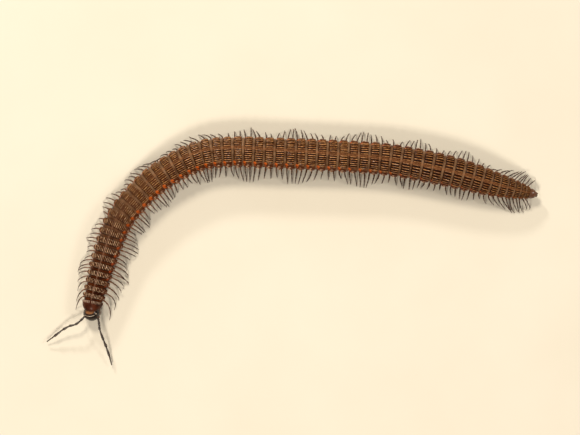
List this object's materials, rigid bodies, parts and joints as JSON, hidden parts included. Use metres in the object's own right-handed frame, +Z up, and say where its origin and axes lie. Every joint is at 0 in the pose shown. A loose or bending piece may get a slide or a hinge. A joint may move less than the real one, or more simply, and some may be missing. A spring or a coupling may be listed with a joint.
{
  "type": "crested millipede",
  "caption": "Life-size still model of a crested millipede walking in a gentle bend, with ringed, ridged trunk, short legs and two feelers.",
  "frame": {"origin": "middle of the bounding box at ground level, under the animal", "axes": "+X towards the tail end of the straight stretch, the longest side; +Y from the head end towards the body's outer side; +Z up"},
  "size_m": [0.0492, 0.0242, 0.0034],
  "materials": {
    "trunk": "ridged brown chitin with greyish smooth bands, satin sheen, and amber legs",
    "shield": "smooth dark mahogany chitin, glossy",
    "head": "smooth dark brown chitin, glossy",
    "feeler": "dark brown chitin with a fine down, satin",
    "eye": "black, beaded and glossy"
  },
  "bodies": {
    "root": {"head": "head", "eye_right": "eye", "eye_left": "eye", "antenna_right": "feeler", "antenna_left": "feeler", "collum": "shield", "trunk_1": "trunk", "trunk_2": "trunk", "trunk_3": "trunk", "trunk_4": "trunk", "trunk_5": "trunk", "trunk_6": "trunk", "trunk_7": "trunk", "telson": "trunk"}
  },
  "joints": []
}
